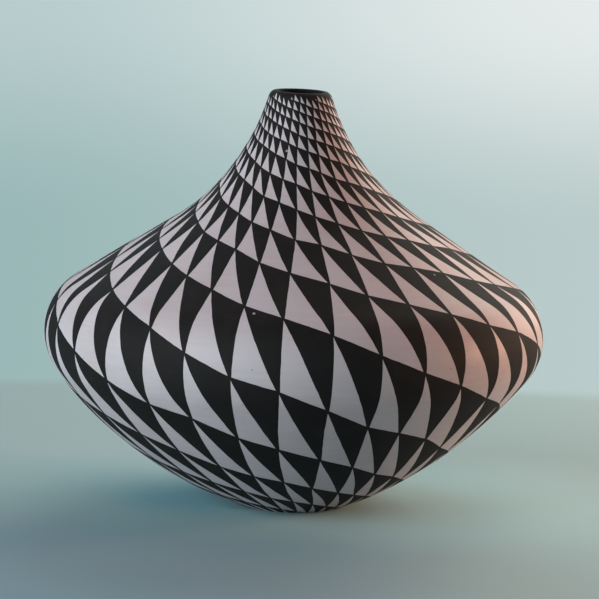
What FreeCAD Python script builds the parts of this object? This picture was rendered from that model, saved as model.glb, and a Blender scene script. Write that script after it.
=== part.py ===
import FreeCAD, Part
import enum
import math
import os
from typing import NamedTuple

import Sketcher

# Coil-built pottery jar.
# A pressed clay base carries a stack of clay coils, each lapped over the one below, up to a thin rim coil.
# Every piece is turned about the upright axis. The origin is the middle of the ring that the jar stands on.
# Lengths are in millimetres and angles in degrees.

SIZES = {
    # The outline: foot, lower wall, belly, shoulder, neck and mouth.
    "foot_radius": 29.0,
    "wall_arc_radius": 210.0,
    "belly_radius": 125.0,
    "belly_rise": 86.5,
    "belly_arc_radius": 30.0,
    "shoulder_slope_degrees": 33.0,
    "neck_arc_radius": 112.0,
    "mouth_radius": 15.3,
    "mouth_above_belly": 120.3,
    # The clay wall, and the lip that it thins to.
    "wall_thickness": 4.5,
    "lip_thickness": 2.8,
    "lip_bevel": 0.8,
    # How far the flat bands that a wall is scraped in may stray from its true curve, outside and inside.
    "outer_band_sag": 0.25,
    "inner_band_sag": 1.2,
    # The foot ring, the hollow inside it, and the floor over the hollow.
    "foot_ring_width": 9.0,
    "hollow_depth": 2.5,
    "hollow_side": 7.0,
    "floor_thickness": 5.0,
    # How far up the outline the base reaches, and how far down it the rim coil reaches.
    "base_reach": 38.0,
    "rim_reach": 16.0,
    # How much lower a seam comes out inside the jar than outside, along the wall.
    "seam_lap": 4.0,
}

COILS = (
    "lower_coil_1",
    "lower_coil_2",
    "belly_coil_1",
    "belly_coil_2",
    "shoulder_coil",
    "neck_coil_1",
    "neck_coil_2",
)

# What the sizes lead to, each an expression of the sizes and of the values above it.
# The outline is four stretches, each tangent to the next: wall arc, belly arc, shoulder line, neck arc.
# The wall and belly arcs have their centres inside the jar, and the neck arc outside it.
WORKED_OUT = {
    # The wall arc passes through the foot and runs on into the belly arc, which bends more tightly.
    "belly_centre": "Sizes.belly_radius - Sizes.belly_arc_radius",
    "foot_to_belly": "hypot(belly_centre - Sizes.foot_radius; Sizes.belly_rise)",
    "foot_to_belly_bearing": "atan2(Sizes.belly_rise; belly_centre - Sizes.foot_radius) / 1 deg",
    "centre_gap": "Sizes.wall_arc_radius - Sizes.belly_arc_radius",
    "wall_bearing": "foot_to_belly_bearing + acos((Sizes.wall_arc_radius^2 + foot_to_belly^2 - centre_gap^2)"
    " / (2 * Sizes.wall_arc_radius * foot_to_belly)) / 1 deg",
    "wall_centre": "Sizes.foot_radius + Sizes.wall_arc_radius * cos(wall_bearing)",
    "wall_centre_rise": "Sizes.wall_arc_radius * sin(wall_bearing)",
    "wall_start": "wall_bearing - 180",
    "wall_finish": "atan2(Sizes.belly_rise - wall_centre_rise; belly_centre - wall_centre) / 1 deg",
    "wall_length": "Sizes.wall_arc_radius * (wall_finish - wall_start) * pi / 180",
    # The belly arc ends where it has turned to the shoulder's slope.
    "shoulder_normal": "90 - Sizes.shoulder_slope_degrees",
    "belly_length": "Sizes.belly_arc_radius * (shoulder_normal - wall_finish) * pi / 180",
    # The shoulder line is as long as it must be for the neck arc that touches its end to pass the mouth.
    "mouth_rise": "Sizes.belly_rise + Sizes.mouth_above_belly",
    "reach_out": "belly_centre + (Sizes.belly_arc_radius + Sizes.neck_arc_radius) * cos(shoulder_normal)"
    " - Sizes.mouth_radius",
    "reach_up": "Sizes.belly_rise + (Sizes.belly_arc_radius + Sizes.neck_arc_radius) * sin(shoulder_normal)"
    " - mouth_rise",
    "reach_along": "reach_out * sin(shoulder_normal) - reach_up * cos(shoulder_normal)",
    "shoulder_length": "reach_along"
    " - sqrt(reach_along^2 - reach_out^2 - reach_up^2 + Sizes.neck_arc_radius^2)",
    "neck_centre": "reach_out + Sizes.mouth_radius - shoulder_length * sin(shoulder_normal)",
    "neck_centre_rise": "reach_up + mouth_rise + shoulder_length * cos(shoulder_normal)",
    "neck_start": "shoulder_normal + 180",
    "neck_finish": "180 + atan2(neck_centre_rise - mouth_rise; neck_centre - Sizes.mouth_radius) / 1 deg",
    "neck_length": "Sizes.neck_arc_radius * (neck_start - neck_finish) * pi / 180",
    # Where each stretch begins, as a length along the outline from the foot, and where the last one ends.
    "wall_begins": "0",
    "belly_begins": "wall_length",
    "shoulder_begins": "belly_begins + belly_length",
    "neck_begins": "shoulder_begins + shoulder_length",
    "outline_length": "neck_begins + neck_length",
    "coil_width": f"(outline_length - Sizes.base_reach - Sizes.rim_reach) / {len(COILS)}",
    # The corners of the base: the hollow's edge and its flat, and the floor inside.
    "hollow_radius": "Sizes.foot_radius - Sizes.foot_ring_width",
    "hollow_flat_radius": "hollow_radius - Sizes.hollow_side",
    "floor_rise": "Sizes.hollow_depth + Sizes.floor_thickness",
    "floor_radius": "wall_centre"
    " + sqrt((Sizes.wall_arc_radius - Sizes.wall_thickness)^2 - (wall_centre_rise - floor_rise)^2)",
}

# Which way a stretch bends, walked upward, as the sign that its turning has in an expression.
LEFT = "+"
RIGHT = "-"
STRAIGHT = ""

# A sketch numbers its own axes below nought, and an edge's two ends from one. Its axes cross at the origin.
SketchAxis = enum.IntEnum("SketchAxis", ["UPRIGHT", "GROUND"], start=-2)
EdgeEnd = enum.IntEnum("EdgeEnd", ["FIRST", "LAST"])
CROSSING = (SketchAxis.GROUND, EdgeEnd.FIRST)

TOP = "Outline.outline_length"


class Corner(NamedTuple):
    """A corner of a section, out from the axis and up from the ground."""

    out: str
    up: str


class Stretch(NamedTuple):
    """A stretch of the outline, walked upward. A straight one leaves the belly arc at the angle given."""

    begins: str
    centre: str
    centre_rise: str
    radius: str
    first_angle: str
    bend: str

    def radius_at(self, depth):
        """The radius of the face that lies at a depth under the outline."""
        deeper = "+" if self.bend == RIGHT else "-"
        return f"({self.radius} {deeper} {depth})"

    def point(self, along, depth):
        """The corner at a length along the outline and a depth under it."""
        radius = self.radius_at(depth)
        run = f"({along} - {self.begins})"
        angle = self.first_angle
        aside_out = aside_up = ""
        if self.bend == STRAIGHT:
            aside_out = f" - {run} * sin({angle})"
            aside_up = f" + {run} * cos({angle})"
        else:
            angle = f"({angle} {self.bend} {run} / {self.radius} * 180 / pi)"
        out = f"{self.centre} + {radius} * cos({angle}){aside_out}"
        up = f"{self.centre_rise} + {radius} * sin({angle}){aside_up}"
        return Corner(out, up)


class Face(NamedTuple):
    """A face of the wall: how deep it lies under the outline, and how far its bands may stray from that."""

    depth: str
    band_sag: str


WALL = Stretch(
    begins="Outline.wall_begins",
    centre="Outline.wall_centre",
    centre_rise="Outline.wall_centre_rise",
    radius="Sizes.wall_arc_radius",
    first_angle="Outline.wall_start",
    bend=LEFT,
)
BELLY = Stretch(
    begins="Outline.belly_begins",
    centre="Outline.belly_centre",
    centre_rise="Sizes.belly_rise",
    radius="Sizes.belly_arc_radius",
    first_angle="Outline.wall_finish",
    bend=LEFT,
)
SHOULDER = Stretch(
    begins="Outline.shoulder_begins",
    centre="Outline.belly_centre",
    centre_rise="Sizes.belly_rise",
    radius="Sizes.belly_arc_radius",
    first_angle="Outline.shoulder_normal",
    bend=STRAIGHT,
)
NECK = Stretch(
    begins="Outline.neck_begins",
    centre="Outline.neck_centre",
    centre_rise="Outline.neck_centre_rise",
    radius="Sizes.neck_arc_radius",
    first_angle="Outline.neck_start",
    bend=RIGHT,
)
STRETCHES = (WALL, BELLY, SHOULDER, NECK)

OUTSIDE = Face(depth="0", band_sag="Sizes.outer_band_sag")
INSIDE = Face(depth="Sizes.wall_thickness", band_sag="Sizes.inner_band_sag")


def keep_sizes(doc):
    """Puts the driving sizes in a sheet, and what they lead to in a set of worked-out values."""
    sheet = doc.addObject("Spreadsheet::Sheet", "Sizes")
    for row, (name, value) in enumerate(SIZES.items(), start=1):
        sheet.set(f"A{row}", name)
        sheet.set(f"B{row}", str(value))
        sheet.setAlias(f"B{row}", name)
    doc.recompute()
    outline = doc.addObject("App::VarSet", "Outline")
    for name, expression in WORKED_OUT.items():
        outline.addProperty("App::PropertyFloat", name, "Outline")
        outline.setExpression(name, expression)
    doc.recompute()
    return outline


def worth(outline, expression):
    """The number that an expression of the sizes stands for."""
    return float(outline.evalExpression(expression))


def stretch_at(outline, along):
    """The stretch that holds a length along the outline."""
    reached = [stretch for stretch in STRETCHES if worth(outline, stretch.begins) <= worth(outline, along)]
    return reached[-1]


def corner_at(outline, along, depth):
    """The corner at a length along the outline and a depth under it, on whichever stretch is there."""
    return stretch_at(outline, along).point(along, depth)


def band_count(outline, stretch, face, length):
    """How many equal flat bands follow a length of a stretch closely enough."""
    if stretch.bend == STRAIGHT:
        return 1
    radius = worth(outline, stretch.radius_at(face.depth))
    widest_band = math.sqrt(8 * radius * worth(outline, face.band_sag))
    return math.ceil(round(length / widest_band, 6))


def banded_face(outline, face, first, last):
    """The corners up a face of the wall from one length along the outline to another, both ends included."""
    low, high = worth(outline, first), worth(outline, last)
    passed = [stretch.begins for stretch in STRETCHES if low < worth(outline, stretch.begins) < high]
    marks = [first, *passed, last]
    corners = []
    for here, there in zip(marks, marks[1:]):
        stretch = stretch_at(outline, here)
        count = band_count(outline, stretch, face, worth(outline, there) - worth(outline, here))
        for band in range(count):
            along = f"({here} + {band} * ({there} - {here}) / {count})"
            corners.append(stretch.point(along, face.depth))
    return [*corners, corner_at(outline, last, face.depth)]


def seam(coil_index):
    """Where the seam under a coil, counted from nought, comes out on the wall's outer and inner faces."""
    middle = f"Sizes.base_reach + {coil_index} * Outline.coil_width"
    return f"({middle} + Sizes.seam_lap / 2)", f"({middle} - Sizes.seam_lap / 2)"


def base_section(outline):
    """The pressed base: foot ring, dished wall up to the first seam, floor, and the hollow underneath."""
    seam_outside, seam_inside = seam(0)
    return [
        *banded_face(outline, OUTSIDE, WALL.begins, seam_outside),
        corner_at(outline, seam_inside, INSIDE.depth),
        Corner("Outline.floor_radius", "Outline.floor_rise"),
        Corner("0", "Outline.floor_rise"),
        Corner("0", "Sizes.hollow_depth"),
        Corner("Outline.hollow_flat_radius", "Sizes.hollow_depth"),
        Corner("Outline.hollow_radius", "0"),
    ]


def coil_section(outline, coil_index):
    """One coil, pinched to the wall's thickness, from the seam under it to the seam over it."""
    low_outside, low_inside = seam(coil_index)
    high_outside, high_inside = seam(coil_index + 1)
    return [
        *banded_face(outline, OUTSIDE, low_outside, high_outside),
        *reversed(banded_face(outline, INSIDE, low_inside, high_inside)),
    ]


def rim_section(outline):
    """The rim coil, which thins from the last seam to a bevelled lip."""
    seam_outside, seam_inside = seam(len(COILS))
    crown = f"({TOP} + Sizes.lip_bevel)"
    return [
        *banded_face(outline, OUTSIDE, seam_outside, TOP),
        corner_at(outline, crown, "Sizes.lip_bevel"),
        corner_at(outline, crown, "(Sizes.lip_thickness - Sizes.lip_bevel)"),
        corner_at(outline, TOP, "Sizes.lip_thickness"),
        corner_at(outline, seam_inside, INSIDE.depth),
    ]


def tie(sketch, name, kind, where, value, expression):
    """Adds a named size to a sketch and binds it to an expression."""
    number = sketch.addConstraint(Sketcher.Constraint(kind, *where, value))
    sketch.renameConstraint(number, name)
    sketch.setExpression(f"Constraints.{name}", expression)


def tie_corner(sketch, edge, place, corner):
    """Holds an edge's first end on the axis or the ground where it lies there, and else at its distance."""
    first = (edge, EdgeEnd.FIRST)
    if corner.out == "0":
        sketch.addConstraint(Sketcher.Constraint("PointOnObject", *first, SketchAxis.UPRIGHT))
    else:
        tie(sketch, f"corner_{edge}_out", "DistanceX", (*CROSSING, *first), place.x, corner.out)
    if corner.up == "0":
        sketch.addConstraint(Sketcher.Constraint("PointOnObject", *first, SketchAxis.GROUND))
    else:
        tie(sketch, f"corner_{edge}_up", "DistanceY", (*CROSSING, *first), place.y, corner.up)


def draw_section(outline, sketch, corners):
    """Draws a section's edges in a sketch, joins them end to end, and ties every corner."""
    places = [FreeCAD.Vector(worth(outline, c.out), worth(outline, c.up), 0) for c in corners]
    following = [*range(1, len(corners)), 0]
    for edge, after in enumerate(following):
        sketch.addGeometry(Part.LineSegment(places[edge], places[after]), False)
    for edge, after in enumerate(following):
        sketch.addConstraint(Sketcher.Constraint("Coincident", edge, EdgeEnd.LAST, after, EdgeEnd.FIRST))
        tie_corner(sketch, edge, places[edge], corners[edge])


def turned_piece(doc, outline, name, corners):
    """A piece of the jar: its section, turned once round the upright axis."""
    body = doc.addObject("PartDesign::Body", name)
    body.Label = name
    sketch = body.newObject("Sketcher::SketchObject", f"{name}_section")
    upright = next(plane for plane in body.Origin.OriginFeatures if plane.Role == "XZ_Plane")
    sketch.AttachmentSupport = (upright, [""])
    sketch.MapMode = "FlatFace"
    draw_section(outline, sketch, corners)
    doc.recompute()
    turned = body.newObject("PartDesign::Revolution", f"{name}_turned")
    turned.Profile = sketch
    turned.ReferenceAxis = (sketch, ["V_Axis"])
    turned.Angle = 360
    doc.recompute()
    return body


def check_and_write(doc, pieces):
    """Stops if anything in the document failed, and else writes each piece to a file of its own."""
    for item in doc.Objects:
        if "Invalid" in item.State or "Error" in item.State:
            raise RuntimeError(f"{item.Label} failed: {item.State}")
    for piece in pieces:
        if piece.Shape.isNull() or not piece.Shape.isValid() or len(piece.Shape.Solids) != 1:
            raise RuntimeError(f"{piece.Label} is not one sound solid")
    os.makedirs("parts", exist_ok=True)
    for piece in pieces:
        piece.Shape.exportStep(f"parts/{piece.Label}.step")
        print(f"{piece.Label}: {piece.Shape.Volume:.0f} cubic millimetres of clay")


def build():
    """Builds the jar from the base up."""
    doc = FreeCAD.newDocument("jar")
    outline = keep_sizes(doc)
    sections = {"pressed_base": base_section(outline)}
    for index, name in enumerate(COILS):
        sections[name] = coil_section(outline, index)
    sections["rim_coil"] = rim_section(outline)
    pieces = [turned_piece(doc, outline, name, corners) for name, corners in sections.items()]
    check_and_write(doc, pieces)


build()
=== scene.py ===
import cmath
import logging
import math
from dataclasses import dataclass
from enum import Enum
from functools import cached_property, reduce
from typing import Any, Callable, Iterable, Mapping, NamedTuple, Sequence

import bpy
import numpy as np
from bpy.types import ID, Material, Object, World
from mathutils import Matrix, Vector


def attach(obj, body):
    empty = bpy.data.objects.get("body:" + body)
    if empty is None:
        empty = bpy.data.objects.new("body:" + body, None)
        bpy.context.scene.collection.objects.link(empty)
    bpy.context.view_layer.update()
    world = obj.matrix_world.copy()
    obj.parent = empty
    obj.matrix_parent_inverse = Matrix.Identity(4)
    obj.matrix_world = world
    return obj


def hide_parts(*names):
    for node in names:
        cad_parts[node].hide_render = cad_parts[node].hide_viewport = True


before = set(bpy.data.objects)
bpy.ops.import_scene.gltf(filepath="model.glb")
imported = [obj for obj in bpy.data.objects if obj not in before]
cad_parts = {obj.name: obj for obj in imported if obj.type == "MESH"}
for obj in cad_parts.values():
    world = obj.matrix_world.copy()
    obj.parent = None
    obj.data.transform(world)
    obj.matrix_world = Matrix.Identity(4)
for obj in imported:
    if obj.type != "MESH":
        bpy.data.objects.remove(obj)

log = logging.getLogger("jar")

# Lengths are in metres and angles in degrees unless a name says otherwise.
# The jar stands on the ground plane with its axis on Z, and is seen from -Y.

Array = np.ndarray
Colour = tuple[float, ...]
Links = Mapping[str | int, Any]
Pair = tuple[float, float]
Triple = tuple[float, float, float]


def eased(share: Array) -> Array:
    """A share from nought to one that starts and ends gently."""
    return share * share * (3 - 2 * share)


def unit(steps: Array) -> Array:
    """Steps in space, each brought to a length of one."""
    return steps / np.linalg.norm(steps, axis=-1, keepdims=True)


# The jar's outline and the potter's layout of the rows

class Turn(Enum):
    """Which way a stretch of the outline turns, walked upward."""

    LEFT = 1
    RIGHT = -1
    STRAIGHT = 0


@dataclass(frozen=True)
class Stretch:
    """A stretch of the outline with one curvature. A straight one leaves an arc at its first angle.

    Its centre is a complex number, of a radius and a height, and its angle is in radians.
    """

    begins: float
    centre: complex
    radius: float
    first_angle: float
    turn: Turn

    def point(self, along: Array, depth: Array) -> Array:
        """Places on the stretch.

        Args:
            along: lengths along the outline from the foot.
            depth: how deep each place lies under the outline.

        Returns:
            Radius and height of each place, in the last axis.
        """
        run = along - self.begins
        radius = self.radius + (depth if self.turn is Turn.RIGHT else -depth)
        aside = run if self.turn is Turn.STRAIGHT else 0 * run
        angle = self.first_angle + self.turn.value * run / self.radius
        spot = self.centre + (radius + 1j * aside) * np.exp(1j * angle)
        return np.stack([spot.real, spot.imag], axis=-1)


@dataclass(frozen=True)
class Outline:
    """The finished outline: wall arc, belly arc, shoulder line and neck arc, each tangent to the next."""

    foot_radius: float = 0.029
    wall_arc: float = 0.210
    belly_radius: float = 0.125
    belly_rise: float = 0.0865
    belly_arc: float = 0.030
    shoulder_slope: float = 33.0
    neck_arc: float = 0.112
    mouth: complex = 0.0153 + 0.2068j

    @cached_property
    def stretches(self) -> tuple[Stretch, ...]:
        """Works the stretches out from the sizes.

        Returns:
            The four stretches, from the foot up.
        """
        belly = complex(self.belly_radius - self.belly_arc, self.belly_rise)
        from_foot = belly - self.foot_radius
        reach, gap = abs(from_foot), self.wall_arc - self.belly_arc
        lean = (self.wall_arc**2 + reach**2 - gap**2) / (2 * self.wall_arc * reach)
        wall_start = cmath.phase(from_foot) + math.acos(lean) - math.pi
        wall = self.foot_radius - cmath.rect(self.wall_arc, wall_start)
        wall_finish = cmath.phase(belly - wall)
        belly_begins = self.wall_arc * (wall_finish - wall_start)
        normal = math.radians(90 - self.shoulder_slope)
        shoulder_begins = belly_begins + self.belly_arc * (normal - wall_finish)
        # The shoulder is as long as it must be for the neck arc that touches its end to pass the mouth.
        uphill = cmath.rect(1.0, normal + math.pi / 2)
        neck = belly + cmath.rect(self.belly_arc + self.neck_arc, normal)
        to_go = -((neck - self.mouth) * uphill.conjugate()).real
        shoulder = to_go - math.sqrt(to_go**2 - abs(neck - self.mouth) ** 2 + self.neck_arc**2)
        neck += shoulder * uphill
        neck_begins = shoulder_begins + shoulder
        return (
            Stretch(0.0, wall, self.wall_arc, wall_start, Turn.LEFT),
            Stretch(belly_begins, belly, self.belly_arc, wall_finish, Turn.LEFT),
            Stretch(shoulder_begins, belly, self.belly_arc, normal, Turn.STRAIGHT),
            Stretch(neck_begins, neck, self.neck_arc, normal + math.pi, Turn.RIGHT),
        )

    @cached_property
    def length(self) -> float:
        """The length of the outline from the foot to the mouth.

        Returns:
            The length.
        """
        neck = self.stretches[-1]
        turned = neck.first_angle - math.pi - cmath.phase(neck.centre - self.mouth)
        return neck.begins + neck.radius * turned

    def point(self, along: Array | float, depth: Array | float) -> Array:
        """Places on or under the outline.

        Args:
            along: lengths along the outline from the foot.
            depth: how deep each place lies under the outline.

        Returns:
            Radius and height of each place, in the last axis.
        """
        along, depth = np.broadcast_arrays(along, depth)
        places = self.stretches[0].point(along, depth)
        for stretch in self.stretches[1:]:
            places = np.where((along >= stretch.begins)[..., None], stretch.point(along, depth), places)
        return places


@dataclass(frozen=True)
class HandWobble:
    """How far the hand-built wall strays from true: it leans to and fro, and swells and dips."""

    # Pairs of a height and how far the wall leans to the right there.
    leans: tuple[Pair, ...] = (
        (0.000, 0.0), (0.020, -0.0013), (0.045, -0.0018), (0.084, -0.0002),
        (0.120, -0.0004), (0.150, 0.0012), (0.180, 0.0005), (0.208, 0.0001),
    )
    swell: float = 0.0004
    swells_round: int = 3
    swell_rise: float = 0.09
    # Over this height above the flat foot, the swell sets in.
    settled_rise: float = 0.03
    rim_tilt: float = 1.5
    tilt_starts: float = 0.190
    tilt_full: float = 0.207

    def lift(self, side: Array, height: Array) -> Array:
        """How far the wall is raised near the mouth, where the rim dips a little to the right."""
        share = np.clip((height - self.tilt_starts) / (self.tilt_full - self.tilt_starts), 0, 1)
        return -side * math.tan(math.radians(self.rim_tilt)) * share

    def shift(self, angle: Array, height: Array) -> tuple[Array, Array]:
        """How far the wall is moved.

        Args:
            angle: bearings round the axis, in radians.
            height: heights over the ground.

        Returns:
            The growth in radius, and the sideways lean to +X, both of which end at the foot.
        """
        heights, leans = np.array(self.leans).T
        place = np.interp(height, heights, np.arange(len(heights)))
        under = np.clip(np.floor(place).astype(int), 0, len(heights) - 2)
        part = eased(place - under)
        lean = leans[under] * (1 - part) + leans[under + 1] * part
        settled = np.clip(height / self.settled_rise, 0, 1)
        phase = height / self.swell_rise * math.pi
        swell = self.swell * np.sin(self.swells_round * angle + phase) * np.cos(phase) * settled
        return swell, lean


@dataclass(frozen=True)
class PaintLayout:
    """How the potter lays out the painted rows: one lattice of triangles that winds up to the lip.

    Rows are counted downward and columns to the right. One turn meets all the columns and loses some rows.
    """

    columns: int = 33
    rows_lost: int = 8
    first_row: float = 5.311
    # Pairs of a length along the outline and how many rows a metre of wall would hold there.
    row_paces: tuple[Pair, ...] = (
        (0.000, 55.7), (0.040, 39.2), (0.080, 27.7), (0.110, 25.5), (0.135, 25.0),
        (0.160, 26.0), (0.185, 31.1), (0.210, 40.2), (0.235, 53.8), (0.255, 74.3),
        (0.270, 105.3), (0.285, 155.5), (0.303, 249.7),
    )
    # Pairs of a length along the outline and how far, in columns, the columns lean to the left there.
    column_leans: tuple[Pair, ...] = (
        (0.000, -0.50), (0.020, -0.25), (0.040, 0.00), (0.070, 0.18), (0.100, 0.255),
        (0.130, 0.265), (0.160, 0.21), (0.190, 0.15), (0.215, 0.17), (0.235, 0.26),
        (0.255, 0.33), (0.275, 0.28), (0.303, 0.12),
    )
    # The lengths along the outline between which rows are counted, and at how many stations.
    counted: Pair = (-0.004, 0.316)
    stations: int = 1281
    # How far past the mouth the last row ends.
    past_mouth: float = 0.0010
    # How far the brush misses a crossing, in rows and in columns, and its widest miss.
    scatter: Pair = (0.032, 0.055)
    widest_scatter: float = 1.8
    scattered_rows: int = 64
    seed: int = 7

    @cached_property
    def _counts(self) -> tuple[Array, Array]:
        """Counts the rows on the front meridian.

        Returns:
            Lengths along the outline, and the row reached at each.
        """
        along = np.linspace(*self.counted, self.stations)
        pace = np.interp(along, *np.array(self.row_paces).T)
        steps = 0.5 * (pace[1:] + pace[:-1]) * np.diff(along)
        passed = np.concatenate([[0.0], np.cumsum(steps)])
        return along, self.first_row + np.interp(0.0, along, passed) - passed

    @cached_property
    def _scatter(self) -> Array:
        """A small shift in rows and columns for each crossing of the lattice, the same on every run."""
        spread = np.random.default_rng(self.seed).normal(size=(self.scattered_rows, self.columns, 2))
        return spread.clip(-self.widest_scatter, self.widest_scatter) * self.scatter

    def front(self, along: Array | float) -> Array:
        """Row and column on the front meridian at lengths along the outline, in the last axis."""
        column = np.interp(along, *np.array(self.column_leans).T)
        return np.stack([np.interp(along, *self._counts), column], axis=-1)

    def scatter_at(self, row: Array, column: Array) -> Array:
        """The shift of whole crossings, which repeats when the lattice has gone once round.

        Args:
            row: whole row numbers.
            column: whole column numbers.

        Returns:
            Shifts in rows and columns, in the last axis.
        """
        turns = np.floor_divide(column, self.columns)
        own_row = row + self.rows_lost * turns + self.scattered_rows // 2
        return self._scatter[own_row % self.scattered_rows, column - self.columns * turns]

    def lattice(self, along: Array, angle: Array) -> Array:
        """Where places on the wall lie in the painted lattice.

        Args:
            along: lengths along the outline.
            angle: bearings round the axis, in radians, nought at the front and growing to the right.

        Returns:
            Row and column, in the last axis.
        """
        place = self.front(along) + angle[..., None] / (2 * math.pi) * (-self.rows_lost, self.columns)
        low = np.floor(place).astype(int)
        shift = 0.0
        for step in ((0, 0), (0, 1), (1, 0), (1, 1)):
            share = np.where(step, place - low, 1 - (place - low)).prod(axis=-1, keepdims=True)
            shift = shift + share * self.scatter_at(*np.moveaxis(low + step, -1, 0))
        return place - shift


# Node trees

def operator(operation: str, mirrored: bool = False) -> Callable[..., "Wire"]:
    """Writes a method for a Math node's operation.

    Args:
        operation: the operation.
        mirrored: whether the wire itself comes last.

    Returns:
        The method, which adds the node and returns its result.
    """
    def method(wire: "Wire", *others: Any) -> "Wire":
        """The operation on a wire and other values."""
        values = (*others, wire) if mirrored else (wire, *others)
        return wire.bench.wire("Math", dict(enumerate(values)), operation=operation)

    return method


@dataclass(frozen=True)
class Wire:
    """A socket of a node tree that sums like a number, and the bench that makes its nodes."""

    bench: "Bench"
    socket: Any

    __add__ = __radd__ = operator("ADD")
    __sub__ = operator("SUBTRACT")
    __rsub__ = operator("SUBTRACT", mirrored=True)
    __mul__ = __rmul__ = operator("MULTIPLY")
    __truediv__ = operator("DIVIDE")
    __rtruediv__ = operator("DIVIDE", mirrored=True)
    # The lesser and the greater of two, the square root, and the whole part.
    least = operator("MINIMUM")
    most = operator("MAXIMUM")
    root = operator("SQRT")
    floor = operator("FLOOR")

    def ramp(self, low: Any, high: Any) -> "Wire":
        """Nought under low, one over high, and smooth between."""
        links = {"Value": self, "From Min": low, "From Max": high}
        return self.bench.wire("MapRange", links, interpolation_type="SMOOTHSTEP")


class Bench:
    """Makes the nodes of one material, or of the room."""

    def __init__(self, owner: Material | World) -> None:
        """Empties the owner's node tree.

        Args:
            owner: a new material or world.
        """
        owner.use_nodes = True
        self.owner = owner
        self.tree = owner.node_tree
        self.tree.nodes.clear()

    def node(self, kind: str, links: Links, **settings: Any) -> Any:
        """Makes a new node.

        Args:
            kind: the node's type, without ShaderNode before it.
            links: socket names or numbers, each with a value or a Wire.
            settings: its own settings, set first.

        Returns:
            The node.
        """
        node = self.tree.nodes.new(f"ShaderNode{kind}")
        for name, value in settings.items():
            setattr(node, name, value)
        for name, value in links.items():
            if isinstance(value, Wire):
                self.tree.links.new(value.socket, node.inputs[name])
            else:
                node.inputs[name].default_value = value
        return node

    def wire(self, kind: str, links: Links, output: str | int = 0, **settings: Any) -> Wire:
        """One output of a new node."""
        return Wire(self, self.node(kind, links, **settings).outputs[output])

    def place(self) -> Wire:
        """Where the shaded point lies."""
        return self.wire("TexCoord", {}, "Object")

    def attribute(self, name: str, output: str = "Vector") -> Wire:
        """What the mesh's corners carry under a name."""
        return self.wire("Attribute", {}, output, attribute_name=name)

    def parts(self, vector: Wire) -> list[Wire]:
        """The three numbers of a vector."""
        outputs = self.node("SeparateXYZ", {0: vector}).outputs
        return [Wire(self, output) for output in outputs]

    def distance(self, vector: Wire, centre: Triple) -> Wire:
        """How far a vector lies from a fixed place."""
        return self.wire("VectorMath", {0: vector, 1: centre}, "Value", operation="DISTANCE")

    def mix(self, share: Wire, first: Any, second: Any) -> Wire:
        """A colour between two, by a share of the second. Colour sockets go by number."""
        return self.wire("Mix", {0: share, 6: first, 7: second}, 2, data_type="RGBA")

    def finish(self, kind: str, links: Links) -> Material | World:
        """Closes the tree with a shader and returns its owner."""
        self.node(f"Output{type(self.owner).__name__}", {"Surface": self.wire(kind, links)})
        return self.owner


Surface = tuple[Wire, Wire, Wire]


@dataclass(frozen=True)
class Noise:
    """Soft noise: how fine it is, its finer layers and their strength, its ramp, and how it is stretched."""

    scale: float
    detail: float = 2.0
    roughness: float = 0.5
    ramp: Pair | None = None
    stretch: Triple | None = None

    def over(self, place: Wire) -> Wire:
        """Lays the noise over a surface.

        Args:
            place: where the shaded point lies.

        Returns:
            The noise: about one half on the whole, or from nought to one where it has a ramp.
        """
        if self.stretch:
            place = place.bench.wire("Mapping", {"Vector": place, "Scale": self.stretch})
        links = {"Vector": place, "Scale": self.scale, "Detail": self.detail, "Roughness": self.roughness}
        noise = place.bench.wire("TexNoise", links)
        return noise.ramp(*self.ramp) if self.ramp else noise


def tint(*screen: int) -> Colour:
    """A colour as it looks on a screen, from 0 to 255 each, as the linear one that a shader takes."""
    shares = [value / 255 for value in screen]
    return (*(c / 12.92 if c <= 0.04045 else ((c + 0.055) / 1.055) ** 2.4 for c in shares), 1.0)


# Finishes

@dataclass(frozen=True)
class Finish:
    """What each of the jar's finishes has: a name, how strong and deep its relief is, and its gloss."""

    name: str
    relief_strength: float
    relief_depth: float
    gloss: float

    def make(self) -> Material:
        """Builds the material.

        Returns:
            The new material.
        """
        bench = Bench(bpy.data.materials.new(self.name))
        colour, roughness, relief = self.surface(bench.place())
        bump_links = {"Height": relief, "Strength": self.relief_strength, "Distance": self.relief_depth}
        links = {
            "Base Color": colour,
            "Roughness": roughness,
            "Normal": bench.wire("Bump", bump_links),
            "Specular IOR Level": self.gloss,
        }
        return bench.finish("BsdfPrincipled", links)

    def surface(self, place: Wire) -> Surface:
        """The surface's colour, roughness and relief at a place."""
        raise NotImplementedError


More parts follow.
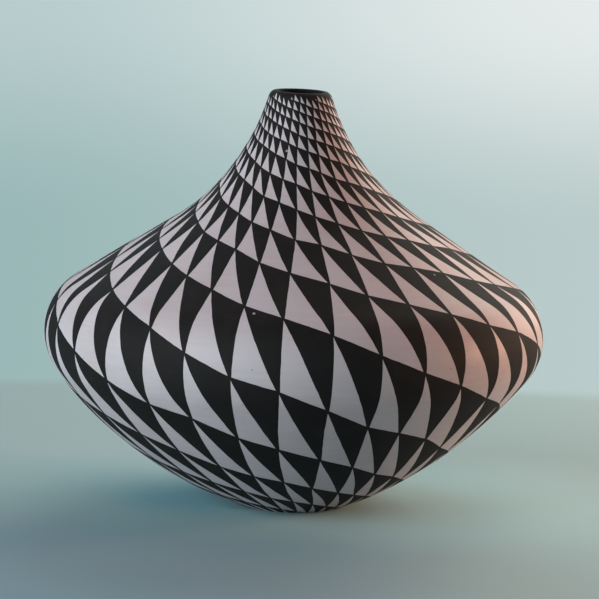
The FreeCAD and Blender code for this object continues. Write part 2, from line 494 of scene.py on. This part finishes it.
@dataclass(frozen=True)
class PaintedSlip(Finish):
    """Pale slip with black paint in a lattice of triangles, rubbed with a stone to a satin sheen."""

    name: str = "painted_slip"
    relief_strength: float = 0.12
    relief_depth: float = 0.0004
    gloss: float = 0.18
    slip: Colour = tint(196, 184, 190)
    warm_slip: Colour = tint(190, 174, 176)
    paint: Colour = tint(24, 22, 22)
    thin_paint: Colour = tint(40, 33, 31)
    roughness: float = 0.42
    paint_roughness: float = 0.74
    # The black line beside each triangle: half its width, and its share of a column.
    half_line: float = 0.00028
    line_share: float = 0.016
    # The share of a line's width that is left beside a white tip.
    tip_share: float = 0.35
    # The least of a row that is still painted under the lip, and how sharply smaller ones end.
    least_row: float = 0.80
    least_row_blend: float = 0.01
    # The least that a row is squeezed to, which keeps its triangles from flaring.
    least_squeeze: float = 0.05
    brush_edge: float = 0.00012
    brush_shake: float = 0.00022
    shake: Noise = Noise(180.0)
    # Cloudiness of the slip, its polishing streaks, and where both leave it warm.
    mottle: Noise = Noise(22.0, 3.0, 0.6)
    mottle_share: float = 0.6
    streaks: Noise = Noise(90.0, 3.0, 0.6, stretch=(0.35, 0.35, 6.0))
    warm_range: Pair = (0.35, 0.7)
    # Dark specks: how close they lie, how large they are, and where there are any.
    speck: Colour = tint(120, 92, 84)
    speck_scale: float = 260.0
    speck_sizes: Pair = (0.05, 0.16)
    speck_spread: Noise = Noise(130.0, 1.0, ramp=(0.60, 0.68))
    speck_share: float = 0.55
    # Where the paint lies thin.
    wash: Noise = Noise(60.0, 4.0, 0.7, ramp=(0.45, 0.8))
    wash_share: float = 0.6
    # The place and radius of each small chip in the paint, and the shares of the radius where it ends.
    chip: Colour = tint(188, 178, 172)
    chip_share: float = 0.8
    chip_edge: Pair = (0.55, 1.15)
    chips: tuple[tuple[float, float, float, float], ...] = (
        (-0.0194, -0.1081, 0.1126, 0.00080),
        (-0.0062, -0.0256, 0.1805, 0.00068),
        (0.0666, -0.0592, 0.1258, 0.00058),
    )
    # How far streaks and rubbing change the roughness, and what raises the relief.
    streak_rub: float = 0.10
    fine_rub: float = 0.06
    rub: Noise = Noise(400.0)
    grain: Noise = Noise(900.0)
    streak_relief: float = 0.5
    grain_relief: float = 0.25
    mottle_relief: float = 0.8

    def surface(self, place: Wire) -> Surface:
        """The painted and polished slip.

        Args:
            place: where the shaded point lies.

        Returns:
            Colour, roughness and relief.
        """
        mix, white = place.bench.mix, self.triangles(place)
        mottle = self.mottle.over(place)
        streaks = self.streaks.over(place)
        cloud = mottle * self.mottle_share + streaks * (1 - self.mottle_share)
        slip = mix(cloud.ramp(*self.warm_range), self.slip, self.warm_slip)
        links = {"Vector": place, "Scale": self.speck_scale}
        specks = place.bench.wire("TexVoronoi", links, "Distance")
        dotted = (1 - specks.ramp(*self.speck_sizes)) * self.speck_spread.over(place)
        slip = mix(dotted * self.speck_share, slip, self.speck)
        thin = self.wash.over(place) * self.wash_share
        colour = mix(white, mix(thin, self.paint, self.thin_paint), slip)
        colour = mix(self.chipped(place) * self.chip_share, colour, self.chip)

        rubbed = streaks * self.streak_rub + self.rub.over(place) * self.fine_rub
        mean_rub = 0.5 * (self.streak_rub + self.fine_rub)
        less = self.roughness - self.paint_roughness
        roughness = rubbed + (self.paint_roughness - mean_rub) + white * less
        relief = streaks * self.streak_relief + self.grain.over(place) * self.grain_relief
        return colour, roughness, relief + mottle * self.mottle_relief

    def triangles(self, place: Wire) -> Wire:
        """The unpainted triangles.

        Args:
            place: where the shaded point lies.

        Returns:
            One in the white triangles, nought under the paint, and between at the brush's edge.
        """
        bench = place.bench
        row, column, to_lip = bench.parts(bench.attribute("lattice"))
        row_pace, column_pace, slant_pace = bench.parts(bench.attribute("pace"))
        down = row - row.floor()
        right = column - column.floor()
        room_to_lip = to_lip + 1 - down
        squeezed = 1 - (1 - down) / room_to_lip.least(1.0).most(self.least_squeeze)
        line = self.line_share / column_pace + self.half_line
        side_line = line * (self.tip_share + (1 - self.tip_share) * squeezed)
        side_room = (right / column_pace).least((squeezed - right) / slant_pace) - side_line
        shake = (self.shake.over(place) - 0.5) * (2 * self.brush_shake)
        room = ((1 - down) / row_pace - line).least(side_room) + shake
        inside = room.ramp(-0.5 * self.brush_edge, 0.5 * self.brush_edge)
        low, high = self.least_row - self.least_row_blend, self.least_row + self.least_row_blend
        return inside * room_to_lip.ramp(low, high)

    def chipped(self, place: Wire) -> Wire:
        """The small chips in the paint.

        Args:
            place: where the shaded point lies.

        Returns:
            One where a chip shows the pale slip under the paint, and nought elsewhere.
        """
        shares = []
        for *centre, radius in self.chips:
            starts, ends = (share * radius for share in self.chip_edge)
            shares.append(1 - place.bench.distance(place, centre).ramp(starts, ends))
        return reduce(Wire.most, shares)


@dataclass(frozen=True)
class BareClay(Finish):
    """The clay's own brown, scraped inside and worn smooth under the foot."""

    name: str = "bare_clay"
    relief_strength: float = 0.35
    relief_depth: float = 0.0006
    gloss: float = 0.3
    clay: Colour = tint(122, 86, 66)
    dark_clay: Colour = tint(84, 58, 46)
    cloud: Noise = Noise(40.0, 5.0, 0.65)
    dark_range: Pair = (0.35, 0.65)
    grit: Colour = tint(158, 128, 104)
    grains: Noise = Noise(700.0, 1.0, ramp=(0.68, 0.74))
    grain_share: float = 0.5
    scrapes: Noise = Noise(70.0, 3.0, stretch=(0.4, 0.4, 8.0))
    least_roughness: float = 0.66
    cloud_roughness: float = 0.12
    cloud_relief: float = 0.4
    grain_relief: float = 0.4

    def surface(self, place: Wire) -> Surface:
        """The bare clay.

        Args:
            place: where the shaded point lies.

        Returns:
            Colour, roughness and relief.
        """
        cloud = self.cloud.over(place)
        grains = self.grains.over(place)
        colour = place.bench.mix(cloud.ramp(*self.dark_range), self.clay, self.dark_clay)
        colour = place.bench.mix(grains * self.grain_share, colour, self.grit)
        relief = self.scrapes.over(place) + cloud * self.cloud_relief + grains * self.grain_relief
        return colour, cloud * self.cloud_roughness + self.least_roughness, relief


@dataclass(frozen=True)
class DarkLip(Finish):
    """Black paint over the lip, worn through to lighter clay along its crest."""

    name: str = "dark_lip"
    relief_strength: float = 0.25
    relief_depth: float = 0.0003
    gloss: float = 0.18
    paint: Colour = tint(28, 24, 24)
    worn: Colour = tint(78, 68, 62)
    rubs: Noise = Noise(260.0, 4.0, 0.7)
    # How near the crest, and how much rubbed, the paint has to be to wear through.
    crest_range: Pair = (0.3, 1.0)
    rub_range: Pair = (0.30, 0.6)
    worn_share: float = 0.8
    least_roughness: float = 0.68
    rub_roughness: float = 0.15

    def surface(self, place: Wire) -> Surface:
        """The painted lip.

        Args:
            place: where the shaded point lies.

        Returns:
            Colour, roughness and relief.
        """
        rubs = self.rubs.over(place)
        crest = place.bench.attribute("crest", "Fac").ramp(*self.crest_range)
        wear = crest * rubs.ramp(*self.rub_range) * self.worn_share
        colour = place.bench.mix(wear, self.paint, self.worn)
        return colour, rubs * self.rub_roughness + self.least_roughness, rubs


def placed(name: str, data: ID) -> Object:
    """Puts a new object into the scene.

    Args:
        name: the object's name.
        data: its mesh, light or camera.

    Returns:
        The new object.
    """
    thing = bpy.data.objects.new(name, data)
    bpy.context.scene.collection.objects.link(thing)
    return thing


# The jar's pieces

class Face(Enum):
    """The faces of a piece, each with a finish of its own."""

    OUTSIDE = 0
    BARE = 1
    LIP = 2


@dataclass(frozen=True)
class Walk:
    """A stretch of a piece's section: a list of places that one face follows.

    They are lengths along the outline and depths under it, or radii and heights where flat is given.
    The crest says how near each place is to the lip's.
    """

    along: Array
    depth: Array
    face: Face
    flat: Array | None = None
    crest: Array | None = None

    @staticmethod
    def wall(first: float, last: float, depth: float, step: float, face: Face = Face.BARE) -> "Walk":
        """A walk at one depth, in even steps of at most the given length."""
        along = np.linspace(first, last, max(1, math.ceil(abs(last - first) / step)) + 1)
        return Walk(along, np.full_like(along, depth), face)

    @staticmethod
    def across(start: Pair, end: Pair, count: int = 1, face: Face = Face.BARE) -> "Walk":
        """A straight walk from one length and depth to another."""
        along, depth = np.linspace(start, end, count + 1).T
        return Walk(along, depth, face)

    @staticmethod
    def level(corners: Sequence[Pair]) -> "Walk":
        """A walk over bare clay, through corners given as radius and height."""
        nought = np.zeros(len(corners))
        return Walk(nought, nought, Face.BARE, np.array(corners))


class Patch(NamedTuple):
    """The strip of a mesh that one walk makes: its own points, what each corner carries, and its faces."""

    points: Array
    corners: Array
    normals: Array
    lattice: Array
    pace: Array
    crest: Array
    faces: Array


@dataclass(frozen=True)
class Shaper:
    """Turns walks round the axis into a mesh with true normals and the painted lattice."""

    outline: Outline = Outline()
    wobble: HandWobble = HandWobble()
    layout: PaintLayout = PaintLayout()
    segments: int = 198
    # How far apart two points lie, along the section and round the axis, that give a slope there.
    nudge: float = 1e-5
    turn_nudge: float = 1e-4
    pace_nudge: float = 1e-4

    @cached_property
    def angles(self) -> Array:
        """The bearings of a ring's points, in radians, with the first one again at the end."""
        return np.linspace(-math.pi, math.pi, self.segments + 1)[None, :]

    def place(self, walk: Walk, section: Array, angle: Array) -> Array:
        """Points of the wall in space, after the hand's wobble.

        Args:
            walk: the walk that the section belongs to.
            section: its places, in the last axis.
            angle: bearings round the axis, in radians.

        Returns:
            A row of points for each place.
        """
        if walk.flat is None:
            section = self.outline.point(section[:, 0], section[:, 1])
        radius, height, angle = np.broadcast_arrays(section[:, :1], section[:, 1:], angle)
        swell, lean = self.wobble.shift(angle, height)
        radius = radius + swell
        side = radius * np.sin(angle)
        height = height + self.wobble.lift(side, height)
        return np.stack([side + lean, -radius * np.cos(angle), height], axis=-1)

    def grid(self, walk: Walk) -> tuple[Array, Array]:
        """Turns a walk round the axis.

        Args:
            walk: the walk.

        Returns:
            Its points and its normals, one row of them for each place of the walk.
        """
        section = np.stack([walk.along, walk.depth], axis=-1) if walk.flat is None else walk.flat
        step = unit(np.gradient(section, axis=0)) * self.nudge
        ahead, behind = (self.place(walk, section + way * step, self.angles) for way in (1, -1))
        right, left = (self.place(walk, section, self.angles + way * self.turn_nudge) for way in (1, -1))
        return self.place(walk, section, self.angles), unit(np.cross(right - left, ahead - behind))

    def paces(self, along: Array) -> Array:
        """How fast the lattice passes.

        Args:
            along: lengths along the outline.

        Returns:
            How many rows, columns and slants a metre across each of them holds, in the last axis.
        """
        radius = self.outline.point(along, 0.0)[..., :1]
        steps = self.layout.front(along + self.pace_nudge) - self.layout.front(along - self.pace_nudge)
        both = steps, np.array([-self.layout.rows_lost, self.layout.columns])
        up, across = (np.append(pair, pair[..., :1] - pair[..., 1:], axis=-1) for pair in both)
        return np.hypot(up / (2 * self.pace_nudge), across / (2 * math.pi) / radius)

    def patch(self, walk: Walk, edge: int, total: int) -> Patch:
        """Makes the strip of one walk.

        Args:
            walk: the walk.
            edge: how many rows of points come before it round the section.
            total: how many rows of points there are round the whole section.

        Returns:
            The strip.
        """
        rows, around = len(walk.along), self.segments
        points, normals = self.grid(walk)
        along = walk.along[:, None] + 0 * self.angles
        lattice, pace = np.zeros((*along.shape, 3)), np.ones((*along.shape, 3))
        if walk.face is Face.OUTSIDE:
            lip = self.layout.front(self.outline.length + self.layout.past_mouth)[0]
            lattice[..., :2] = self.layout.lattice(along, self.angles + 0 * along)
            lattice[..., 2] = self.layout.front(along)[..., 0] - lip
            pace = self.paces(along)
        crest = (np.zeros(rows) if walk.crest is None else walk.crest)[:, None] + 0 * self.angles
        row = np.arange(rows - 1)[:, None, None] + (0, 0, 1, 1)
        column = np.arange(around)[None, :, None] + (0, 1, 1, 0)
        return Patch(
            points[:-1, :-1].reshape(-1, 3),
            ((edge + row) % total * around + column % around).reshape(-1),
            normals[row, column].reshape(-1, 3),
            lattice[row, column].reshape(-1, 3),
            pace[row, column].reshape(-1, 3),
            crest[row, column].reshape(-1),
            np.full((rows - 1) * around, walk.face.value),
        )

    def mesh(self, name: str, walks: Sequence[Walk], dress: Mapping[Face, Material]) -> Object:
        """Builds a closed ring from walks that follow one another round its section.

        Args:
            name: the object's name.
            walks: the faces of the section, each starting where the one before ends.
            dress: the material of each kind of face.

        Returns:
            The new object, with its lattice, pace and crest as attributes.
        """
        *edges, total = np.cumsum([0] + [len(walk.along) - 1 for walk in walks])
        patches = [self.patch(walk, edge, total) for walk, edge in zip(walks, edges)]
        whole = Patch(*map(np.concatenate, zip(*patches)))
        mesh = bpy.data.meshes.new(name)
        mesh.vertices.add(len(whole.points))
        mesh.vertices.foreach_set("co", whole.points.reshape(-1))
        mesh.loops.add(len(whole.corners))
        mesh.loops.foreach_set("vertex_index", whole.corners)
        mesh.polygons.add(len(whole.faces))
        mesh.polygons.foreach_set("loop_start", np.arange(0, len(whole.corners), 4))
        mesh.update(calc_edges=True)
        used, slots = np.unique(whole.faces, return_inverse=True)
        for value in used:
            mesh.materials.append(dress[Face(value)])
        mesh.polygons.foreach_set("material_index", slots)
        for label in ("lattice", "pace"):
            attribute = mesh.attributes.new(label, "FLOAT_VECTOR", "CORNER")
            attribute.data.foreach_set("vector", getattr(whole, label).reshape(-1))
        attribute = mesh.attributes.new("crest", "FLOAT", "CORNER")
        attribute.data.foreach_set("value", whole.crest)
        mesh.shade_smooth()
        mesh.normals_split_custom_set(whole.normals.tolist())
        mesh.validate()
        return placed(name, mesh)


@dataclass
class Seams:
    """Where the coils meet: a lap that comes out lower inside the jar than outside."""

    outline: Outline
    coils: tuple[str, ...] = (
        "lower_coil_1", "lower_coil_2",
        "belly_coil_1", "belly_coil_2",
        "shoulder_coil",
        "neck_coil_1", "neck_coil_2",
    )
    base_reach: float = 0.038
    rim_reach: float = 0.016
    lap: float = 0.004

    def at(self, number: int) -> Pair:
        """Where a seam comes out.

        Args:
            number: the seam's number, from nought at the base.

        Returns:
            The lengths along the outline of its outer and inner edges.
        """
        share = number / len(self.coils)
        middle = (1 - share) * self.base_reach + share * (self.outline.length - self.rim_reach)
        return middle + self.lap / 2, middle - self.lap / 2


@dataclass
class Piece:
    """A piece of the jar that stands for one node of the frame."""

    node: str
    shaper: Shaper
    seams: Seams
    dress: Mapping[Face, Material]
    wall_thickness: float = 0.0045
    inner_step: float = 0.004
    # The painted face's steps, which shorten where the jar is narrower than full_step_radius.
    outer_step: float = 0.0022
    least_step: float = 0.0010
    full_step_radius: float = 0.08
    slot: str = "painted_clay"

    def walks(self) -> list[Walk]:
        """The faces round the piece's section."""
        raise NotImplementedError

    def outer_walk(self, first: float, last: float) -> Walk:
        """The painted face.

        Args:
            first: the length along the outline where it starts.
            last: the length where it ends.

        Returns:
            The walk along it.
        """
        middle = self.shaper.outline.point((first + last) / 2, 0.0)[0]
        step = max(self.least_step, self.outer_step * min(1.0, middle / self.full_step_radius))
        return Walk.wall(first, last, 0.0, step, Face.OUTSIDE)

    def build(self) -> Object:
        """Makes the piece and puts it in its node's place.

        Returns:
            The piece, dressed.
        """
        shown = self.shaper.mesh(f"shown_{self.node}", self.walks(), self.dress)
        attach(shown, "root")
        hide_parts(self.node)
        return shown


@dataclass
class PressedBase(Piece):
    """The pressed base: foot ring, dished wall, floor, and the hollow underneath."""

    foot_ring_width: float = 0.009
    hollow_depth: float = 0.0025
    hollow_side: float = 0.007
    hollow_steps: int = 6
    floor_thickness: float = 0.005
    # Shares of the floor's radius that its rings have. The last is a pinhole at the axis.
    floor_rings: tuple[float, ...] = (1.0, 0.7, 0.4, 0.001)
    # At how many places the inner wall is tried for where it meets the floor.
    samples: int = 400

    def walks(self) -> list[Walk]:
        """Walks up the outside, over the first seam, across the floor and back under the hollow.

        Returns:
            The faces round the base's section.
        """
        outside, inside = self.seams.at(0)
        outline = self.shaper.outline
        floor_rise = self.hollow_depth + self.floor_thickness
        lengths = np.linspace(0, inside, self.samples)
        radii, heights = outline.point(lengths, self.wall_thickness).T
        floor_along, floor_radius = (np.interp(floor_rise, heights, run) for run in (lengths, radii))
        pinhole = floor_radius * self.floor_rings[-1]
        hollow = outline.foot_radius - self.foot_ring_width
        shares = np.linspace(0, 1, self.hollow_steps + 1)
        side = np.stack([hollow - self.hollow_side * shares, self.hollow_depth * eased(shares)], axis=-1)
        levels = (
            [(floor_radius * share, floor_rise) for share in self.floor_rings],
            [(pinhole, floor_rise), (pinhole, self.hollow_depth)],
            [(pinhole, self.hollow_depth), side[-1]],
            side[::-1],
            [(hollow, 0.0), (outline.foot_radius, 0.0)],
        )
        return [
            self.outer_walk(0.0, outside),
            Walk.across((outside, 0.0), (inside, self.wall_thickness)),
            Walk.wall(inside, floor_along, self.wall_thickness, self.inner_step),
            *map(Walk.level, levels),
        ]


@dataclass
class Coil(Piece):
    """One coil of clay, pinched to the wall's thickness."""

    number: int = 0

    def walks(self) -> list[Walk]:
        """Walks up the outside, over the upper seam, down the inside and back along the lower seam.

        Returns:
            The faces round the coil's section.
        """
        low_outside, low_inside = self.seams.at(self.number)
        high_outside, high_inside = self.seams.at(self.number + 1)
        thickness = self.wall_thickness
        return [
            self.outer_walk(low_outside, high_outside),
            Walk.across((high_outside, 0.0), (high_inside, thickness)),
            Walk.wall(high_inside, low_inside, thickness, self.inner_step),
            Walk.across((low_inside, thickness), (low_outside, 0.0)),
        ]


@dataclass
class RimCoil(Piece):
    """The rim coil, which thins to a rounded lip painted black."""

    slot: str = "dark_lip"
    lip_thickness: float = 0.0040
    crest_rise: float = 0.0018
    crest_depth: float = 0.0030
    outer_round: float = 0.0042
    inner_round: float = 0.0012
    # How far down the inside the lip's dark colour reaches, and how much thicker the lip is there.
    paint_reach: float = 0.005
    paint_end_swell: float = 0.0005
    # The steps of the roundings. The outer one's first steps carry the triangles.
    outer_steps: int = 18
    painted_steps: int = 11
    inner_steps: int = 8
    inside_steps: tuple[int, int] = (4, 5)
    # How wide the worn line on the crest is, as a share of the inner rounding.
    worn_width: float = 0.4

    def walks(self) -> list[Walk]:
        """Walks up the outside, over the rounded lip, down the inside and back along the seam.

        Returns:
            The faces round the rim coil's section.
        """
        outside, inside = self.seams.at(len(self.seams.coils))
        crest = self.shaper.outline.length + self.crest_rise
        turns = np.linspace(0, math.pi / 2, self.outer_steps + 1)
        outer = np.stack(
            [crest - self.outer_round * (1 - np.sin(turns)), self.crest_depth * (1 - np.cos(turns))]
        )
        turns = np.linspace(0, math.pi / 2, self.inner_steps + 1)[1:]
        lip_depths = self.crest_depth + (self.lip_thickness - self.crest_depth) * np.sin(turns)
        inner = np.stack([crest - self.inner_round * (1 - np.cos(turns)), lip_depths])
        painted, bare = outer[:, : self.painted_steps + 1], outer[:, self.painted_steps :]
        over = np.concatenate([bare, inner], axis=1)
        worn = np.exp(-(((over[1] - self.crest_depth) / (self.worn_width * self.inner_round)) ** 2))
        edge = tuple(over[:, -1])
        dark_end = (crest - self.paint_reach, self.lip_thickness + self.paint_end_swell)
        seam = (inside, self.wall_thickness)
        return [
            self.outer_walk(outside, crest - self.outer_round),
            Walk(*painted, Face.OUTSIDE),
            Walk(*over, Face.LIP, crest=worn),
            Walk.across(edge, dark_end, self.inside_steps[0], Face.LIP),
            Walk.across(dark_end, seam, self.inside_steps[1]),
            Walk.across(seam, (outside, 0.0)),
        ]


@dataclass(frozen=True)
class Jar:
    """The whole jar, from the base up."""

    shaper: Shaper = Shaper()

    def build(self) -> list[Object]:
        """Builds every piece in the order in which the clay goes on.

        Returns:
            The pieces.
        """
        finishes = {Face.OUTSIDE: PaintedSlip(), Face.BARE: BareClay(), Face.LIP: DarkLip()}
        seams = Seams(self.shaper.outline)
        shared = self.shaper, seams, {face: finish.make() for face, finish in finishes.items()}
        pieces = (
            PressedBase("pressed_base", *shared),
            *(Coil(name, *shared, number=number) for number, name in enumerate(seams.coils)),
            RimCoil("rim_coil", *shared),
        )
        return [piece.build() for piece in pieces]


# The studio

@dataclass(frozen=True)
class Pool:
    """A pool of painted light, or a painted shadow, on the paper beside the jar: its place, how far its tone
    holds, and where it has faded.
    """

    place: Triple
    hold: float
    fade: float
    tone: Colour


@dataclass(frozen=True)
class PaperGround:
    """The paper that the jar stands on. Past the table's edge it shows the backdrop's tones, all round."""

    name: str = "paper_ground"
    reach: float = 7.0
    corners: int = 96
    # The table ends with a plain edge behind the jar. At its sides and front it fades out further.
    table_reach: float = 0.316
    table_blend: float = 0.020
    table_fade: float = 0.40
    # How much of a bearing points straight back where the edge turns plain.
    edge_turn: Pair = (0.70, 0.86)
    table: Colour = tint(154, 180, 183)
    table_roughness: float = 0.9
    near_table: Colour = tint(132, 164, 177)
    # Painted shade: the table is painted darker and bluer toward the front left, where less light falls.
    # These say where that shaded tone gives way to the table's, to the right and to the back.
    near_across: Pair = (-0.02, 0.12)
    near_back: Pair = (-0.12, -0.01)
    # Painted light and shadow on the paper: two lighter pools of painted light to the right of the jar, and
    # a darker painted shadow left of its foot.
    pools: tuple[Pool, ...] = (
        Pool((0.16, 0.05, 0.0), 0.10, 0.24, tint(156, 188, 194)),
        Pool((0.095, 0.01, 0.0), 0.03, 0.135, tint(170, 207, 213)),
        Pool((-0.050, 0.0, 0.0), 0.01, 0.06, tint(124, 169, 181)),
    )
    # How far off the ground is looked at from, which sets how its tones crowd with distance.
    view_distance: float = 1.58
    low_left: Colour = tint(155, 184, 184)
    low_right: Colour = tint(185, 203, 202)
    high_left: Colour = tint(184, 204, 205)
    high_right: Colour = tint(228, 235, 234)
    # Painted light: the backdrop is painted lighter to the right and higher up, as the light falls on it.
    # These say where its tones change, from left to right and from low to high.
    side_turn: Pair = (-0.10, 0.10)
    high_turn: Pair = (0.40, 0.72)
    # Nearer the axis than this, no bearing is worked out.
    least_beyond: float = 0.001
    rays: tuple[str, ...] = ("Is Camera Ray", "Is Glossy Ray", "Is Transmission Ray")

    def dress(self) -> Material:
        """Matt paper near the jar, with painted shade, painted pools of light and a painted shadow in its
        colour, and a backdrop that no lamp reaches beyond it, painted lighter to the right and higher up.

        Returns:
            The material.
        """
        bench = Bench(bpy.data.materials.new(self.name))
        place = bench.place()
        across, back, _ = bench.parts(place)
        # Painted shade: the table darkens toward the front left.
        near = (1 - across.ramp(*self.near_across)) * (1 - back.ramp(*self.near_back))
        table = bench.mix(near, self.table, self.near_table)
        # Paints the pools of light and the shadow beside the jar into the table's colour.
        for painted_spot in self.pools:
            away = bench.distance(place, painted_spot.place)
            table = bench.mix(1 - away.ramp(painted_spot.hold, painted_spot.fade), table, painted_spot.tone)

        beyond = (across * across + back * back).root()
        from_view = beyond + self.view_distance
        # Painted light: the backdrop grows lighter to the right and higher up.
        side = (across / from_view).ramp(*self.side_turn)
        low = bench.mix(side, self.low_left, self.low_right)
        high = bench.mix(side, self.high_left, self.high_right)
        rise = (1 - self.view_distance / from_view).ramp(*self.high_turn)
        glow = {
            "Base Color": (0.0, 0.0, 0.0, 1.0),
            "Roughness": 1.0,
            "Specular IOR Level": 0.0,
            "Emission Color": bench.mix(rise, low, high),
            "Emission Strength": 1.0,
        }

        # The table is a square with round corners.
        fourths = across * across * across * across + back * back * back * back
        edge_behind = (back / beyond.most(self.least_beyond)).ramp(*self.edge_turn)
        far_edge = (1 - edge_behind) * self.table_fade + (self.table_reach + self.table_blend)
        past_table = fourths.root().root().ramp(self.table_reach - self.table_blend, far_edge)
        ray = bench.node("LightPath", {})
        seen = reduce(Wire.most, [Wire(bench, ray.outputs[name]) for name in self.rays])
        either = {
            0: past_table * seen,
            1: bench.wire("BsdfPrincipled", {"Base Color": table, "Roughness": self.table_roughness}),
            2: bench.wire("BsdfPrincipled", glow),
        }
        return bench.finish("MixShader", either)

    def build(self) -> None:
        """Makes the sheet."""
        turns = np.linspace(0, 2 * math.pi, self.corners, endpoint=False)
        points = [(self.reach * math.cos(t), self.reach * math.sin(t), 0.0) for t in turns]
        mesh = bpy.data.meshes.new(self.name)
        mesh.from_pydata(points, [], [tuple(range(self.corners))])
        mesh.materials.append(self.dress())
        placed(self.name, mesh)


@dataclass(frozen=True)
class SoftLamp:
    """A square soft lamp that points at the jar, with its bearing from the camera's side."""

    name: str
    bearing: float
    elevation: float
    distance: float
    size: float
    power: float
    colour: Triple
    aim: Triple = (0.0, 0.0, 0.10)

    def build(self) -> None:
        """Makes the lamp."""
        light = bpy.data.lights.new(self.name, "AREA")
        light.energy = self.power
        light.size = self.size
        light.color = self.colour
        turn, rise = math.radians(self.bearing), math.radians(self.elevation)
        flat = math.cos(rise)
        away = Vector((math.sin(turn) * flat, -math.cos(turn) * flat, math.sin(rise)))
        lamp = placed(self.name, light)
        lamp.location = Vector(self.aim) + away * self.distance
        lamp.rotation_euler = (-away).to_track_quat("-Z", "Y").to_euler()
        lamp.visible_camera = False


@dataclass(frozen=True)
class PhotoCamera:
    """The photograph's view: how high the camera looks from, how far off, and its small roll and shift."""

    image_pixels: float = 599.0
    sensor: float = 36.0
    elevation: float = 8.8
    distance: float = 1.6
    look_rise: float = 0.106
    focal_pixels: float = 3188.9
    axis_pixels: Pair = (295.4, 292.83)
    middle_pixel: float = 299.0
    roll: float = 1.4

    def build(self) -> None:
        """Makes the camera and gives it to the scene."""
        data = bpy.data.cameras.new("photo_camera")
        data.sensor_width = self.sensor
        data.lens = self.focal_pixels / self.image_pixels * self.sensor
        data.shift_x = (self.middle_pixel - self.axis_pixels[0]) / self.image_pixels
        data.shift_y = (self.axis_pixels[1] - self.middle_pixel) / self.image_pixels
        data.dof.use_dof = False
        tilt = math.radians(self.elevation)
        offset = Vector((0.0, -self.distance * math.cos(tilt), self.distance * math.sin(tilt)))
        place = Matrix.Translation(Vector((0.0, 0.0, self.look_rise)) + offset)
        aim = (-offset).to_track_quat("-Z", "Y").to_matrix().to_4x4()
        camera = placed("photo_camera", data)
        camera.matrix_world = place @ aim @ Matrix.Rotation(math.radians(self.roll), 4, "Z")
        bpy.context.scene.camera = camera


@dataclass(frozen=True)
class Studio:
    """The table, the lamps and the light of the room."""

    room: Colour = (0.72, 0.80, 0.82, 1.0)
    room_strength: float = 0.02
    horizon: Colour = tint(206, 219, 219)
    lamps: tuple[SoftLamp, ...] = (
        SoftLamp("window", -54.0, 8.0, 1.6, 1.5, 42.0, (0.85, 0.98, 1.0)),
        SoftLamp("top", 0.0, 88.0, 1.3, 0.9, 2.2, (1.0, 0.35, 0.30)),
        SoftLamp("warm_right", 96.0, 8.0, 0.9, 0.22, 5.8, (1.0, 0.56, 0.36)),
        SoftLamp("right_edge", 136.0, 20.0, 0.9, 0.60, 4.0, (1.0, 0.93, 0.82)),
        SoftLamp("back", 168.0, 40.0, 1.6, 1.0, 9.0, (0.78, 0.95, 0.90)),
        SoftLamp("left_edge", -150.0, 30.0, 1.6, 1.0, 3.5, (0.68, 0.88, 1.0)),
    )

    def air(self) -> World:
        """The room: a faint even light, and the backdrop's tone wherever the ground doesn't reach.

        Returns:
            The world.
        """
        bench = Bench(bpy.data.worlds.new("room"))
        either = {
            0: bench.wire("LightPath", {}, "Is Camera Ray"),
            1: bench.wire("Background", {"Color": self.room, "Strength": self.room_strength}),
            2: bench.wire("Background", {"Color": self.horizon}),
        }
        return bench.finish("MixShader", either)

    def build(self) -> None:
        """Sets the room's light and makes the ground, lamps and camera."""
        bpy.context.scene.world = self.air()
        bpy.context.scene.view_settings.view_transform = "Standard"
        PaperGround().build()
        for lamp in self.lamps:
            lamp.build()
        PhotoCamera().build()


def main() -> None:
    """Builds the studio and the jar, and logs how many faces each of the jar's pieces has."""
    logging.basicConfig(level=logging.INFO, format="%(message)s")
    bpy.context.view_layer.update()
    Studio().build()
    for piece in Jar().build():
        log.info("%s: %d faces", piece.name, len(piece.data.polygons))


if __name__ == "__main__":
    main()
